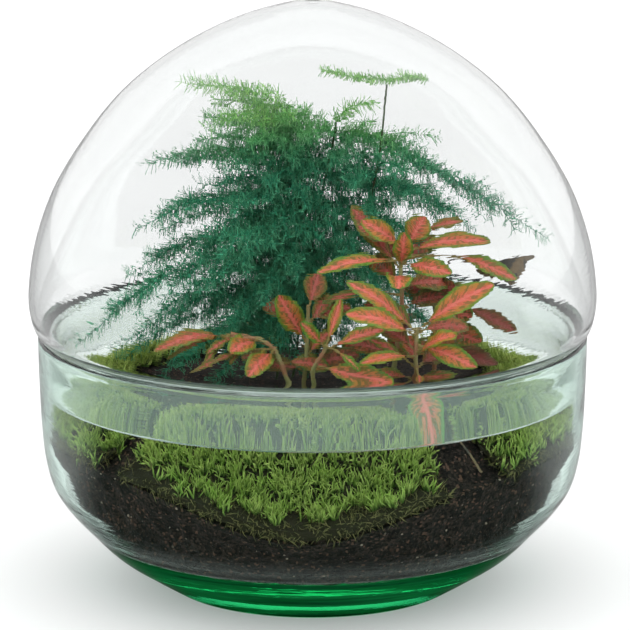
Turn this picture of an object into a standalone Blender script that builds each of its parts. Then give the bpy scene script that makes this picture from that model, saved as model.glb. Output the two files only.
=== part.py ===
"""A closed glass plant terrarium: a footed bowl, a dome that plugs into it, soil, moss and two plants.

Built in millimetres and stored in Blender's metres. The origin is the centre of the foot's underside,
+Z is up, and -Y is the side that the planting faces. Every piece is one object and one closed body.
Pieces that rest on each other keep a gap of GAP, so that no two of them share any volume.
"""

import math

import bmesh
import bpy
from mathutils import Matrix, Vector

MM = 0.001

# Driving dimensions, in millimetres.
HEIGHT = 300.0
RIM_HEIGHT = 130.0
FOOT_RADIUS = 74.4
BOWL_RADIUS = 139.6
DOME_RADIUS = 144.1
BOWL_WALL = 4.0
DOME_WALL = 3.0
FLOOR_HEIGHT = 19.0
NECK_RADIUS = 134.4
NECK_WALL = 3.4
NECK_LENGTH = 28.5
SEAT_RADIUS = 139.0
SEAT_CORNER = 1.5
THROAT_HEIGHT = 3.6
WALL_START_HEIGHT = 50.0
GAP = 0.3
SEGMENTS = 48
LIP_STEPS = 6

SOIL_HEIGHT = 98.0
SOIL_EDGE_HEIGHT = 80.0
SOIL_BACK_RISE = 8.0
SOIL_VALLEY_DEPTH = 26.0
SOIL_VALLEY_HEADING = math.radians(-92)
SOIL_VALLEY_SPREAD = math.radians(28)
SOIL_SLOPE_START = 0.74
MOSS_THICKNESS = 8.0
MOSS_EDGE_THICKNESS = 2.5

FITTONIA_STEM_RADIUS = 1.1
FERN_STEM_RADIUS = 0.7
TWIG_RADIUS = 0.5
STEM_TAPER = 0.3
STEM_FOOT_GAP = 0.7
STALK_HALF_WIDTH = 0.7
STALK_GAP = 0.6
STALK_SHARE = 0.14
LEAF_HALF_THICKNESS = 0.35
LEAF_TIP_HALF_WIDTH = 0.3
LEAF_FOLD = 0.2
LEAF_SKEW = 0.85
LEAF_FULLNESS = 0.8
SPRAY_FULLNESS = 0.7
SPRAY_END = 0.04
STEM_POINTS = 9
LEAF_STATIONS = 8
SPRAY_STATIONS = 8
SPRAY_SIDES = 6

# Outlines of the glass as (radius, height): the bowl's outside, its inside floor and the dome's outside, each
# from the bottom up.
BOWL_OUTLINE = [
    (FOOT_RADIUS, 0.0), (81.0, 4.0), (92.5, 11.3), (103.5, 18.8), (116.0, 31.2), (132.5, 51.9),
    (138.0, 80.5), (BOWL_RADIUS, 126.0),
]
FLOOR_OUTLINE = [
    (0.0, FLOOR_HEIGHT), (86.0, 19.2), (92.0, 19.7), (96.0, 21.2), (103.0, 26.0), (108.5, 31.0), (113.5, 36.2),
    (121.3, 45.0),
]
DOME_OUTLINE = [
    (141.6, 134.5), (DOME_RADIUS, 146.9), (141.4, 172.4), (132.0, 201.3), (115.8, 228.5), (96.5, 252.4),
    (71.1, 272.8), (43.3, 288.0), (18.7, 296.6), (0.0, HEIGHT),
]

# Rings of the planting grid, as shares of the way from the axis to the glass, and where each moss clump lies
# on it: first and last segment round the bowl, counted from +X, and first ring out from the axis.
SOIL_RINGS = [0.2, 0.4, 0.56, 0.70, 0.78, 0.86, 0.93, 1.0]
MOSS_CLUMPS = {
    "front": (30, 40, 1),
    "left": (13, 29, 3),
    "right": (42, 56, 3),
}

# Wiry stems of the fern, from the soil up.
FERN_STEMS = {
    "left": [(-18, 8), (-17, 8, 144), (-14, 10, 185), (-12, 10, 216), (-13, 8, 244)],
    "middle": [(-10, 14), (-5, 14, 143), (3, 14, 190), (10, 13, 222), (12, 11, 236)],
    "right": [(-5, 1), (12, 3, 144), (29, 4, 195), (35, 4, 230), (37, 2.5, 256.1)],
}

# Feathery sprays: the stem that carries each, how far up that stem it sits, its course out to the tip, and
# half its width and height. A spray at 1.0 crosses over its stem's top.
FERN_SPRAYS = {
    "top_left": ("left", 0.99, [(-25, 4, 250), (-44, 0, 255), (-66, -4, 258)], 6.5, 3.5),
    "upper_left": ("left", 0.93, [(-25, -6, 242), (-40, -14, 244), (-53, -20, 238)], 6, 3.5),
    "long_left": ("left", 0.80, [(-34, 14, 221), (-60, 20, 219), (-85, 24, 211)], 7, 4),
    "mid_left": ("left", 0.64, [(-37, 3, 199), (-62, -1, 196), (-89, -4, 183)], 9, 4.5),
    "back_left": ("left", 0.50, [(-42, 24, 176), (-68, 34, 167), (-97, 38, 149)], 10, 4.5),
    "drooping": ("left", 0.42, [(-47, -2, 168), (-82, -10, 157), (-119, -14, 125)], 10, 4.5),
    "low_left": ("left", 0.27, [(-37, 10, 149), (-58, 14, 142), (-77, 18, 126)], 8, 4),
    "front": ("left", 0.57, [(-24, -16, 187), (-36, -34, 186), (-47, -48, 177)], 9, 4.5),
    "top_middle": ("middle", 0.99, [(17, 3, 243), (24, -2, 247), (31, -6, 248)], 5, 3),
    "long_right": (
        "middle", 0.90, [(34, 19, 226), (60, 20, 211), (85, 17, 197), (120, 10, 175)], 9, 4.5,
    ),
    "back_right": ("middle", 0.62, [(36, 30, 200), (61, 40, 190), (84, 44, 172)], 10, 4.5),
    "back": ("middle", 0.70, [(2, 34, 208), (-10, 54, 204), (-22, 72, 188)], 10, 4.5),
    "crown": (
        "right", 1.0, [(6, -2, 264), (21, 0, 260.5), (37, 2, 258.4), (49, 2, 260), (58, 0, 259)], 5, 2,
    ),
}

# Soft stems of the fittonia, from the soil up.
FITTONIA_STEMS = {
    "right": [(47, -40), (51.5, -52, 118), (51, -60, 130), (51.5, -61, 146)],
    "top": [(39, -24), (43, -28, 132), (45, -30, 153), (44, -32, 168), (46, -31, 182)],
    "left": [(3, -46), (0, -56, 121), (5, -60, 132), (7, -61, 137)],
    "middle": [(-5, -30), (-3, -37, 129), (-2, -37, 152)],
    "creeping": [(-9, -42), (-18, -40, 128), (-30, -38, 135), (-41, -38, 136)],
    "back": [(60, -16), (63, -16, 126), (62, -13, 143), (60, -10, 151)],
}

# Fittonia leaves by stem: how far up the stem the stalk leaves it, the tip, the blade's width, how far the
# midrib bows above a straight line, how far the upper face leans towards -Y, in degrees from level, and the
# stalk's share of the leaf where it is longer than usual.
FITTONIA_LEAVES = {
    "right": [
        (0.99, (89, -70, 170), 13.5, 4.5, 50),
        (0.93, (16, -84, 158), 11.5, 6.0, 50),
        (0.97, (16.5, -60, 169), 10.0, 5.0, 45),
        (0.74, (71, -84, 147.5), 9.5, 5.0, 45),
        (0.82, (81, -74, 128), 11.0, 4.0, 60),
        (0.70, (23, -88, 134), 8.0, 3.0, 45),
        (0.52, (59, -90, 95), 17.0, 5.0, 85),
    ],
    "top": [
        (0.78, (19.5, -14, 197), 10.5, 2.0, 65),
        (0.97, (24, -38, 195), 10.5, 3.0, 60),
        (0.80, (45.5, -47, 191), 10.5, 2.0, 85),
        (0.98, (56, -28, 195), 13.0, 1.0, 75),
        (0.82, (69, -52, 171), 10.5, 3.0, 60),
        (0.93, (88.5, -38, 184.5), 9.5, 5.0, 45),
        (0.88, (102.5, -22, 161.5), 9.5, 14.0, 55, 0.42),
        (0.71, (42, -66, 166), 13.5, 5.0, 55),
        (0.84, (2, -46, 170), 8.5, 5.0, 40),
    ],
    "left": [
        (1.0, (14, -55, 159), 6.5, 0.0, 80),
        (0.94, (-6, -74, 152), 7.0, 1.0, 60),
        (0.90, (37, -66, 147), 8.5, 2.0, 45),
        (0.46, (40, -84, 121.5), 13.5, 0.0, 60),
    ],
    "middle": [
        (0.60, (-17, -56, 161.5), 13.0, 2.0, 75),
        (0.97, (3, -24, 165), 12.0, 1.0, 80),
    ],
    "creeping": [
        (1.0, (-79, -46, 130), 9.0, 6.0, 40),
        (0.60, (-41, -62, 133), 12.0, 3.0, 50),
        (0.36, (-32, -73, 122.5), 12.0, 4.0, 55),
    ],
    "back": [
        (0.97, (72, -20, 158), 12.0, 1.0, 70),
        (0.70, (80, -38, 146), 14.0, 1.0, 70),
        (0.48, (84.5, -48, 135), 13.5, 2.0, 65),
        (0.88, (103.5, -12, 132), 9.0, 4.0, 50, 0.40),
        (0.92, (45, -18, 160), 9.0, 1.0, 65),
    ],
}

# Dry pieces in the planting: a wiry twig behind the fittonia and a straw on the soil in front.
DRY_TWIG = [
    (62, 4), (64, 9, 130), (66, 11, 150), (70, 10, 163), (80, 4, 167.6), (95, -2, 166), (103, -6, 160),
    (111, -12, 151),
]
DRY_STRAW = [(82, -94.5, 81.2), (77.5, -91, 88), (72, -88, 95)]

COLOURS = {
    "bowl_glass": ((0.55, 0.80, 0.70), 0.03),
    "dome_glass": ((0.88, 0.93, 0.92), 0.03),
    "potting_soil": ((0.045, 0.030, 0.022), 0.95),
    "moss": ((0.16, 0.32, 0.05), 0.80),
    "fern_stem": ((0.07, 0.13, 0.06), 0.60),
    "fern_needles": ((0.04, 0.20, 0.10), 0.65),
    "fittonia_stem": ((0.30, 0.32, 0.12), 0.50),
    "fittonia_leaf": ((0.62, 0.13, 0.08), 0.45),
    "dry_stalk": ((0.30, 0.20, 0.10), 0.80),
}


def clear_scene():
    for obj in list(bpy.data.objects):
        bpy.data.objects.remove(obj, do_unlink=True)


def material(name):
    """The named finish as a Principled BSDF, made once."""
    if name in bpy.data.materials:
        return bpy.data.materials[name]
    made = bpy.data.materials.new(name)
    made.use_nodes = True
    colour, roughness = COLOURS[name]
    shader = made.node_tree.nodes["Principled BSDF"]
    shader.inputs["Base Color"].default_value = (*colour, 1.0)
    shader.inputs["Roughness"].default_value = roughness
    shader.inputs["Metallic"].default_value = 0.0
    if name.endswith("glass"):
        shader.inputs["Transmission Weight"].default_value = 1.0
        shader.inputs["IOR"].default_value = 1.5
    return made


def add_mesh(name, bm, finish):
    """Stores a mesh built in millimetres as an object in metres, with its faces outwards."""
    bmesh.ops.recalc_face_normals(bm, faces=bm.faces)
    bmesh.ops.transform(bm, matrix=Matrix.Scale(MM, 4), verts=bm.verts)
    mesh = bpy.data.meshes.new(name)
    bm.to_mesh(mesh)
    bm.free()
    mesh.shade_smooth()
    mesh.set_sharp_from_angle(angle=math.radians(50))
    mesh.materials.append(material(finish))
    obj = bpy.data.objects.new(name, mesh)
    bpy.context.scene.collection.objects.link(obj)
    return obj


# Smooth curves through a few points.


def curve_point(points, share):
    """The point a given share of the way along a smooth curve through the points (Catmull-Rom)."""
    spans = len(points) - 1
    place = min(max(share, 0.0), 1.0) * spans
    i = min(int(place), spans - 1)
    t = place - i
    p1, p2 = points[i], points[i + 1]
    p0 = points[i - 1] if i > 0 else 2 * p1 - p2
    p3 = points[i + 2] if i + 2 <= spans else 2 * p2 - p1
    linear = p2 - p0
    squared = 2 * p0 - 5 * p1 + 4 * p2 - p3
    cubed = 3 * p1 - p0 - 3 * p2 + p3
    return p1 + (linear * t + squared * t**2 + cubed * t**3) / 2


def curve_direction(points, share):
    return (curve_point(points, share + 0.01) - curve_point(points, share - 0.01)).normalized()


def smooth_course(points, count):
    return [curve_point(points, i / (count - 1)) for i in range(count)]


# Glass.


def offset_outline(outline, distance):
    """The outline moved to the inside of the wall, square to itself."""
    moved = []
    for i, point in enumerate(outline):
        along = outline[min(i + 1, len(outline) - 1)] - outline[max(i - 1, 0)]
        inward = Vector((-along.y, along.x)).normalized()
        moved.append(point + inward * distance)
    return moved


def arc(centre, radius, start_degrees, end_degrees, steps):
    """Points round a part of a circle, ends included."""
    points = []
    for i in range(steps + 1):
        angle = math.radians(start_degrees + (end_degrees - start_degrees) * i / steps)
        points.append(Vector((centre[0] + radius * math.cos(angle), centre[1] + radius * math.sin(angle))))
    return points


def bowl_outlines():
    """The bowl's outer outline from the foot up, and its inner one from the middle of the floor up."""
    outer = smooth_course([Vector(p) for p in BOWL_OUTLINE], 2 * len(BOWL_OUTLINE) - 1)
    wall = [p for p in offset_outline(outer, BOWL_WALL) if p.y > WALL_START_HEIGHT]
    return outer, [Vector(p) for p in FLOOR_OUTLINE] + wall


def turned(name, outline, finish):
    """A body of revolution from an outline that runs down its outer side and back up its inner side."""
    bm = bmesh.new()
    verts = [bm.verts.new((p.x, 0.0, p.y)) for p in outline]
    edges = [bm.edges.new(pair) for pair in zip(verts, verts[1:])]
    bmesh.ops.spin(
        bm, geom=verts + edges, cent=(0, 0, 0), axis=(0, 0, 1), angle=math.tau, steps=SEGMENTS,
        use_merge=True,
    )
    bmesh.ops.remove_doubles(bm, verts=bm.verts, dist=0.01)
    return add_mesh(name, bm, finish)


def add_bowl():
    outer, inner = bowl_outlines()
    lip_radius = BOWL_WALL / 2
    lip = arc((BOWL_RADIUS - lip_radius, RIM_HEIGHT - lip_radius), lip_radius, 0, 180, LIP_STEPS)
    turned("glass_bowl", [Vector((0, 0))] + outer + lip + inner[::-1], "bowl_glass")


def add_dome():
    """The dome with a flat seat that rests over the bowl's rim, and a neck that hangs inside it."""
    points = [Vector(p) for p in DOME_OUTLINE]
    past_top = Vector((-points[-2].x, points[-2].y))
    outer = smooth_course(points + [past_top], 2 * len(points) + 1)[:-2]
    inner = offset_outline(outer, DOME_WALL)
    inner[-1] = Vector((0, HEIGHT - DOME_WALL))
    neck_end = RIM_HEIGHT - NECK_LENGTH + NECK_WALL / 2
    seat = [
        Vector((SEAT_RADIUS, RIM_HEIGHT + GAP)),
        Vector((NECK_RADIUS + SEAT_CORNER / 2, RIM_HEIGHT + GAP)),
        Vector((NECK_RADIUS, RIM_HEIGHT - SEAT_CORNER)),
    ]
    bead = arc((NECK_RADIUS - NECK_WALL / 2, neck_end), NECK_WALL / 2, 0, -180, LIP_STEPS)
    throat = [
        Vector((NECK_RADIUS - NECK_WALL, RIM_HEIGHT)),
        Vector((NECK_RADIUS + SEAT_CORNER / 2, RIM_HEIGHT + THROAT_HEIGHT)),
    ]
    turned("glass_dome", outer[::-1] + seat + bead + throat + inner, "dome_glass")


# Soil and moss, on one grid of rings and spokes.


def wall_radius(height):
    """Inner radius of the bowl at a height, on the straight runs between the outline's points."""
    inner = bowl_outlines()[1]
    for low, high in zip(inner, inner[1:]):
        if low.y <= height <= high.y:
            return low.x + (high.x - low.x) * (height - low.y) / (high.y - low.y)
    return inner[-1].x


def smoothstep(value):
    value = min(max(value, 0.0), 1.0)
    return value * value * (3 - 2 * value)


def soil_edge_height(heading):
    """Height of the soil where it meets the glass: higher at the back, with a valley at the front."""
    turn = math.remainder(heading - SOIL_VALLEY_HEADING, math.tau) / SOIL_VALLEY_SPREAD
    rise = SOIL_BACK_RISE * max(0.0, math.sin(heading))
    return SOIL_EDGE_HEIGHT + rise - SOIL_VALLEY_DEPTH * math.exp(-turn * turn)


def soil_point(segment, share):
    """A point of the soil's surface, by segment round the bowl and share of the way out to the glass."""
    heading = math.tau * segment / SEGMENTS
    edge = soil_edge_height(heading)
    drop = smoothstep((share - SOIL_SLOPE_START) / (1 - SOIL_SLOPE_START))
    height = SOIL_HEIGHT - (SOIL_HEIGHT - edge) * drop
    radius = share * (wall_radius(edge) - GAP)
    return Vector((radius * math.cos(heading), radius * math.sin(heading), height))


def add_soil():
    bm = bmesh.new()
    rings = [[bm.verts.new(soil_point(s, share)) for s in range(SEGMENTS)] for share in SOIL_RINGS]
    valley_height = SOIL_EDGE_HEIGHT - SOIL_VALLEY_DEPTH
    floor = [p for p in bowl_outlines()[1][1:] if p.y < valley_height - 2 * GAP]
    for point in reversed(floor):
        ring = []
        for s in range(SEGMENTS):
            heading = math.tau * s / SEGMENTS
            radius = point.x - GAP
            ring.append(bm.verts.new((radius * math.cos(heading), radius * math.sin(heading), point.y + GAP)))
        rings.append(ring)
    skin_rings(bm, rings)
    top = bm.verts.new((0, 0, SOIL_HEIGHT))
    bottom = bm.verts.new((0, 0, FLOOR_HEIGHT + GAP))
    for s in range(SEGMENTS):
        following = (s + 1) % SEGMENTS
        bm.faces.new((top, rings[0][s], rings[0][following]))
        bm.faces.new((bottom, rings[-1][following], rings[-1][s]))
    add_mesh("potting_soil", bm, "potting_soil")


def moss_point(segment, ring, lift):
    """A point above the soil's surface, kept off the glass and under the dome's neck."""
    point = soil_point(segment, SOIL_RINGS[ring])
    point.z += lift
    if ring == len(SOIL_RINGS) - 1:
        heading = math.tau * segment / SEGMENTS
        radius = wall_radius(point.z) - GAP
        point.x = radius * math.cos(heading)
        point.y = radius * math.sin(heading)
    return point


def add_moss(place, first, last, inner_ring):
    """A cushion of moss over a patch of the soil's grid, thin at its edges and thick within."""
    last_ring = len(SOIL_RINGS) - 1
    bm = bmesh.new()
    under, over = {}, {}
    for s in range(first, last + 1):
        for r in range(inner_ring, last_ring + 1):
            within = first < s < last and r > inner_ring
            thickness = MOSS_THICKNESS if within else MOSS_EDGE_THICKNESS
            under[s, r] = bm.verts.new(moss_point(s, r, GAP))
            over[s, r] = bm.verts.new(moss_point(s, r, GAP + thickness))
    for s in range(first, last):
        for r in range(inner_ring, last_ring):
            here, across = (s, r), (s + 1, r + 1)
            for half in ((here, (s, r + 1), across), (here, across, (s + 1, r))):
                bm.faces.new([over[corner] for corner in half])
                bm.faces.new([under[corner] for corner in reversed(half)])
    border = [(s, inner_ring) for s in range(first, last)]
    border += [(last, r) for r in range(inner_ring, last_ring)]
    border += [(s, last_ring) for s in range(last, first, -1)]
    border += [(first, r) for r in range(last_ring, inner_ring, -1)]
    for here, there in zip(border, border[1:] + border[:1]):
        bm.faces.new((under[here], under[there], over[there], over[here]))
    add_mesh(f"moss_{place}", bm, "moss")


# Plants.


def skin_rings(bm, rings):
    """Triangles between each ring of vertices and the next, every cell split along the same diagonal."""
    for ring, following in zip(rings, rings[1:]):
        for i in range(len(ring)):
            j = (i + 1) % len(ring)
            bm.faces.new((ring[i], ring[j], following[j]))
            bm.faces.new((ring[i], following[j], following[i]))


def add_loft(name, sections, finish):
    """A closed body through a row of cross-sections, each a list of points."""
    bm = bmesh.new()
    rings = [[bm.verts.new(p) for p in section] for section in sections]
    skin_rings(bm, rings)
    bm.faces.new(rings[0])
    bm.faces.new(rings[-1])
    add_mesh(name, bm, finish)


def rooted(course):
    """A stem's course as vectors. A first point with no height of its own stands just clear of the soil."""
    foot = course[0] if len(course[0]) == 3 else (*course[0], SOIL_HEIGHT + STEM_FOOT_GAP)
    return [Vector(foot)] + [Vector(p) for p in course[1:]]


def add_stem(name, course, radius, finish):
    """A round stem that thins towards its top."""
    curve = bpy.data.curves.new(name, "CURVE")
    curve.dimensions = "3D"
    curve.bevel_depth = radius * MM
    curve.bevel_resolution = 1
    curve.use_fill_caps = True
    curve.materials.append(material(finish))
    spline = curve.splines.new("POLY")
    points = smooth_course(rooted(course), STEM_POINTS)
    spline.points.add(len(points) - 1)
    for i, (target, place) in enumerate(zip(spline.points, points)):
        target.co = (*(place * MM), 1.0)
        target.radius = 1.0 - STEM_TAPER * i / (len(points) - 1)
    bpy.context.scene.collection.objects.link(bpy.data.objects.new(name, curve))


def stalk_start(course, share, towards, stem_radius):
    """Where a stalk leaves its stem: just off the stem's skin, on the side that it grows to."""
    seat = curve_point(course, share)
    aside = towards - seat
    if share >= 1.0:
        return seat + aside.normalized() * STALK_GAP
    along = curve_direction(course, share)
    aside -= along * aside.dot(along)
    return seat + aside.normalized() * (stem_radius * (1 - STEM_TAPER * share) + STALK_GAP)


def leaf_half_width(share, stalk):
    """Outline of a fittonia leaf: a thin stalk, the widest part below the middle, and a pointed tip."""
    if share <= stalk:
        return 0.0
    return math.sin(math.pi * ((share - stalk) / (1 - stalk)) ** LEAF_SKEW) ** LEAF_FULLNESS


def add_leaf(name, start, tip, width, bow, lean, stalk=STALK_SHARE):
    """A folded blade on its stalk, as one lens-shaped body."""
    face = Vector((0, -math.sin(math.radians(lean)), math.cos(math.radians(lean))))
    course = [start, (start + tip) / 2 + face * bow, tip]
    sections = []
    for i in range(LEAF_STATIONS + 1):
        share = i / LEAF_STATIONS
        point = curve_point(course, share)
        along = curve_direction(course, share)
        side = along.cross(face).normalized()
        above = side.cross(along)
        blade = leaf_half_width(share, stalk)
        narrowest = STALK_HALF_WIDTH if share < 0.5 else LEAF_TIP_HALF_WIDTH
        half_width = max(blade * width / 2, narrowest)
        half_thick = LEAF_HALF_THICKNESS if share > stalk else STALK_HALF_WIDTH
        fold = above * half_width * LEAF_FOLD
        sections.append([
            point + side * half_width + fold, point + above * half_thick,
            point - side * half_width + fold, point - above * half_thick,
        ])
    add_loft(name, sections, "fittonia_leaf")


def add_spray(name, course, half_width, half_height):
    """The outer form of a feathery spray: a flattened spindle."""
    sections = []
    for i in range(SPRAY_STATIONS + 1):
        share = i / SPRAY_STATIONS
        point = curve_point(course, share)
        along = curve_direction(course, share)
        side = along.cross(Vector((0, 0, 1))).normalized()
        above = side.cross(along)
        swell = math.sin(math.pi * (SPRAY_END + (1 - 2 * SPRAY_END) * share)) ** SPRAY_FULLNESS
        ring = []
        for k in range(SPRAY_SIDES):
            angle = math.tau * k / SPRAY_SIDES
            across = side * half_width * math.cos(angle) + above * half_height * math.sin(angle)
            ring.append(point + across * swell)
        sections.append(ring)
    add_loft(name, sections, "fern_needles")


def add_fern():
    for stem, course in FERN_STEMS.items():
        add_stem(f"fern_stem_{stem}", course, FERN_STEM_RADIUS, "fern_stem")
    for spray, (stem, share, course, half_width, half_height) in FERN_SPRAYS.items():
        points = [Vector(p) for p in course]
        if share < 1.0:
            start = stalk_start(rooted(FERN_STEMS[stem]), share, points[0], FERN_STEM_RADIUS)
            points = [start] + points
        add_spray(f"fern_spray_{spray}", points, half_width, half_height)


def add_fittonia():
    for stem, course in FITTONIA_STEMS.items():
        add_stem(f"fittonia_stem_{stem}", course, FITTONIA_STEM_RADIUS, "fittonia_stem")
        for number, (share, tip, *shape) in enumerate(FITTONIA_LEAVES[stem], 1):
            tip = Vector(tip)
            start = stalk_start(rooted(course), share, tip, FITTONIA_STEM_RADIUS)
            add_leaf(f"fittonia_leaf_{stem}_{number}", start, tip, *shape)


clear_scene()
add_bowl()
add_dome()
add_soil()
for place, patch in MOSS_CLUMPS.items():
    add_moss(place, *patch)
add_fern()
add_fittonia()
add_stem("dry_twig", DRY_TWIG, TWIG_RADIUS, "dry_stalk")
add_stem("dry_straw", DRY_STRAW, TWIG_RADIUS, "dry_stalk")
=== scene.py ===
# %% [markdown]
# # A closed glass terrarium
# A footed glass bowl holds potting soil planted with moss, a feathery asparagus fern and a red-leaved
# fittonia, and a tall glass dome plugs into its mouth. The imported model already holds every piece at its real
# size and place, but plainly. Here each one gets the form and the finish that it has when you look closely.

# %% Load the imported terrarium
import math

import bpy
import numpy as np
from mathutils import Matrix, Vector, noise


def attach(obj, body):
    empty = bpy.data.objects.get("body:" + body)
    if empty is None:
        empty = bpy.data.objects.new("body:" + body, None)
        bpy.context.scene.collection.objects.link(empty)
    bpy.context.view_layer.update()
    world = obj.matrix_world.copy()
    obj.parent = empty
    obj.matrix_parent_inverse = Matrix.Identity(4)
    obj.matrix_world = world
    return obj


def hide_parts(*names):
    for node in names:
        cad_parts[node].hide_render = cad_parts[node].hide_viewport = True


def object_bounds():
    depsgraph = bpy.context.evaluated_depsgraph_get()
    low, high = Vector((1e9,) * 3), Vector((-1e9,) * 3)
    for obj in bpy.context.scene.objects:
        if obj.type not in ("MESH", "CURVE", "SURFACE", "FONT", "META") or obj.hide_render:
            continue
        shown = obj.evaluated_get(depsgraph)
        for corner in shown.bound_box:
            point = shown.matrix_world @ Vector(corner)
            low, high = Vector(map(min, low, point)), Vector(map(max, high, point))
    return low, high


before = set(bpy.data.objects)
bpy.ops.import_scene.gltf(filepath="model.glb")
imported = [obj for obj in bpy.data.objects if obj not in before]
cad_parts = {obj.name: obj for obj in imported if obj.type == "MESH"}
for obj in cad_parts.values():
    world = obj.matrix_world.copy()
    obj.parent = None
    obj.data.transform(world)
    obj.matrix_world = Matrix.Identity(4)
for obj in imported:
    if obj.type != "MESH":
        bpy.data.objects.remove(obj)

MM = 0.001
cad_low, cad_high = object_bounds()
print(f"{len(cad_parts)} packed solids, {(cad_high.z - cad_low.z) / MM:.0f} mm high")

# %% [markdown]
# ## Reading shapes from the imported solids
# A leaf, a spray or a stem is a long thin solid, and its detailed form has to follow the same course. Typed
# in twice, the two would drift apart, so it is read from the solid: cut it with planes from foot to tip, and
# take the middle, the direction and the half width of each cut.


# %% Corners, edges and cuts of a solid
def solid(name):
    """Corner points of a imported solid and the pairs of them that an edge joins."""
    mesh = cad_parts[name].data
    points = np.empty(3 * len(mesh.vertices))
    mesh.vertices.foreach_get("co", points)
    edges = np.empty(2 * len(mesh.edges), int)
    mesh.edges.foreach_get("vertices", edges)
    return points.reshape(-1, 3), edges.reshape(-1, 2)


def unit(vectors):
    return vectors / np.maximum(np.linalg.norm(vectors, axis=-1, keepdims=True), 1e-9)


def course(name, foot_near, cuts):
    """Course of a long solid from its foot, as points, directions across it and half widths."""
    points, edges = solid(name)
    foot = points[np.linalg.norm(points - points.mean(0), axis=1).argmax()]
    tip = points[np.linalg.norm(points - foot, axis=1).argmax()]
    reach = [np.linalg.norm(foot_near - end, axis=-1).min() for end in (foot, tip)]
    if reach[1] < reach[0]:
        foot, tip = tip, foot
    chord = tip - foot
    depth = (points - foot) @ chord / (chord @ chord)
    middles, across, halves = [foot], [], [0.0]
    for share in (np.arange(cuts) + 0.5) / cuts:
        below, above = depth[edges[:, 0]] - share, depth[edges[:, 1]] - share
        cut = below * above < 0
        blend = (below[cut] / (below[cut] - above[cut]))[:, None]
        ring = points[edges[cut, 0]] * (1 - blend) + points[edges[cut, 1]] * blend
        widest = np.linalg.svd(ring - ring.mean(0))[2][0]
        spread = (ring - ring.mean(0)) @ widest
        middles.append(ring.mean(0) + widest * (spread.max() + spread.min()) / 2)
        if across and across[-1] @ widest < 0:
            widest = -widest
        across.append(widest)
        halves.append((spread.max() - spread.min()) / 2)
    across = [across[0], *across, across[-1]]
    return np.array([*middles, tip]), np.array(across), np.array([*halves, 0.0])


def spans(line):
    """Distances from each point of a line to the next."""
    return np.linalg.norm(np.diff(line, axis=0), axis=1)


def smooth(points, count):
    """Points along a smooth curve through the given ones (Catmull-Rom)."""
    points = np.asarray(points, float)
    padded = np.vstack([2 * points[:1] - points[1:2], points, 2 * points[-1:] - points[-2:-1]])
    place = np.linspace(0, len(points) - 1, count)
    i = np.minimum(place.astype(int), len(points) - 2)
    t = (place - i)[:, None]
    p0, p1, p2, p3 = (padded[i + k] for k in range(4))
    bend = 2 * p0 - 5 * p1 + 4 * p2 - p3
    return p1 + t / 2 * (p2 - p0 + t * (bend + t * (3 * p1 - p0 - 3 * p2 + p3)))


# %% [markdown]
# ## Building meshes from arrays
# The planting has tens of thousands of needles, blades and crumbs. Making each with operators would take
# hours, so points and faces are worked out as arrays and handed to Blender in one go. Every form here is a
# row of rings with a skin round it, from a leaf to a needle, so one face pattern does for all of them.


# %% Rings to faces, and faces to a piece
def skin(rows, around):
    """Triangles of a closed skin over rows of rings with that many points each, both ends capped."""
    here = np.arange((rows - 1) * around).reshape(rows - 1, around)
    beside = np.roll(here, -1, axis=1)
    sides = [(here, beside, beside + around), (here, beside + around, here + around)]
    fan, last = np.arange(1, around - 1), (rows - 1) * around
    ends = [(0 * fan, fan + 1, fan), (0 * fan + last, fan + last, fan + 1 + last)]
    return np.concatenate([np.stack(corners, -1).reshape(-1, 3) for corners in sides + ends])


def many(bodies, faces):
    """Points and faces of many bodies of one pattern, from an array of bodies by points by three."""
    count, size = bodies.shape[:2]
    every = faces[None] + (np.arange(count) * size)[:, None, None]
    return bodies.reshape(-1, 3), every.reshape(-1, 3)


def merged(parts):
    """One pair of points and faces from several."""
    starts = np.cumsum([0] + [len(points) for points, _ in parts[:-1]])
    faces = [part_faces + start for (_, part_faces), start in zip(parts, starts)]
    return np.concatenate([points for points, _ in parts]), np.concatenate(faces)


def place_in_scene(name, data):
    thing = bpy.data.objects.new(name, data)
    bpy.context.scene.collection.objects.link(thing)
    return thing


def add_piece(name, points, faces, finish, stands_for=(), sharp=60, **marks):
    """A piece of the terrarium from arrays. Marks are numbers at each point that its finish can read."""
    corners = points[faces]
    if np.linalg.det(corners - points.mean(0)).sum() < 0:
        faces = faces[:, ::-1]
    mesh = bpy.data.meshes.new(name)
    mesh.from_pydata(points.tolist(), [], faces.tolist())
    for mark, values in marks.items():
        layer = mesh.attributes.new(mark, "FLOAT_VECTOR", "POINT")
        layer.data.foreach_set("vector", values.astype(np.float32).ravel())
    mesh.shade_smooth()
    mesh.set_sharp_from_angle(angle=math.radians(sharp))
    mesh.materials.append(finish.material)
    piece = place_in_scene(name, mesh)
    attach(piece, "root")
    if stands_for:
        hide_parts(*stands_for)
    tally[name] = len(faces)


tally = {}

# %% [markdown]
# ## Writing finishes as sums
# A finish is a small sum over the surface: a noise, a mask, two colours mixed by it. Wiring it by hand hides
# the sum, so one small class stands for a socket and adds a Math node for each operator. Another stands for
# the whole finish and has one method for any other node.


# %% Sockets that take arithmetic
def operator(operation, turned=False):
    """A method that adds a Math node, with its terms the other way round where the operator is reflected."""
    def method(self, *other):
        return self.math(operation, *(self, *other)[::-1 if turned else 1])
    return method


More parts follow.
